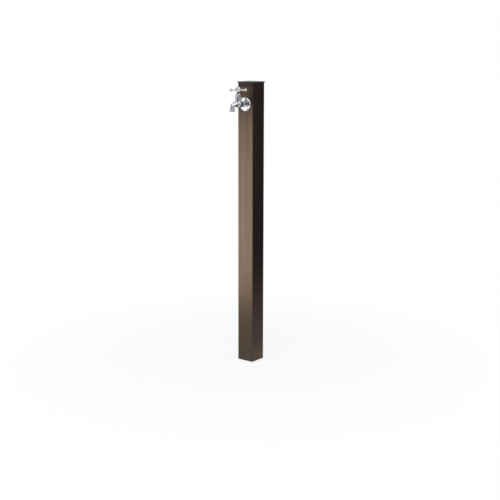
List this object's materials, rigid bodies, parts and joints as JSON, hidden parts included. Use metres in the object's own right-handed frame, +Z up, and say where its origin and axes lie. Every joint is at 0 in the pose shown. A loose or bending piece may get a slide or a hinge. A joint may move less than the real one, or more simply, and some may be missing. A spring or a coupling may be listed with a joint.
{
  "type": "garden standpipe",
  "caption": "Square bronze-finished garden standpipe with an overhanging flat cap, an inside pipe from a threaded inlet in its foot, and a chrome screw-down bib tap with a cross handle.",
  "frame": {"origin": "centre of the threaded water inlet's mouth, which is the middle of the post's lower end", "axes": "+Z up along the post; the tap stands out from the front face along -Y; +X to the right seen from behind the post, which is the side the picture shows dark"},
  "size_m": [0.0692, 0.1507, 1],
  "materials": {
    "bronze_aluminium": "satin",
    "bronze_cap": "satin",
    "dark_resin": "matte",
    "grey_pvc": "satin",
    "brass": "satin",
    "stainless_steel": "satin",
    "chrome_plate": "polished",
    "plated_stem": "satin",
    "packing_rubber": "matte"
  },
  "bodies": {
    "post": {"post_tube": "bronze_aluminium", "top_cap": "bronze_cap", "base_plug": "dark_resin", "inlet_socket": "brass", "supply_pipe": "grey_pvc", "pipe_spacer_lower": "dark_resin", "pipe_spacer_upper": "dark_resin", "tap_elbow": "grey_pvc", "elbow_insert": "brass", "elbow_plate": "stainless_steel", "plate_screws": "stainless_steel", "wall_flange": "chrome_plate", "tap_body": "chrome_plate", "spout_nozzle": "chrome_plate", "bonnet": "chrome_plate", "packing_washer": "stainless_steel", "gland_packing": "packing_rubber"},
    "jumper": {"jumper_valve": "brass", "valve_washer": "packing_rubber", "washer_nut": "brass"},
    "handle": {"spindle": "plated_stem", "handle": "chrome_plate", "handle_screw": "stainless_steel", "handle_cap": "chrome_plate"}
  },
  "joints": [
    {"name": "valve_lift", "type": "slide", "parent": "post", "child": "jumper", "axis": [0, 0, 1], "range_m": [0, 0.0045]},
    {"name": "handle_turn", "type": "hinge", "parent": "jumper", "child": "handle", "pos_m": [0, -0.0725, 0.9735], "axis": [0, 0, 1], "range_deg": [0, 540]}
  ],
  "couplings": [
    {"joint": "valve_lift", "follows": "handle_turn", "m_per_rad": 0.00047746}
  ]
}
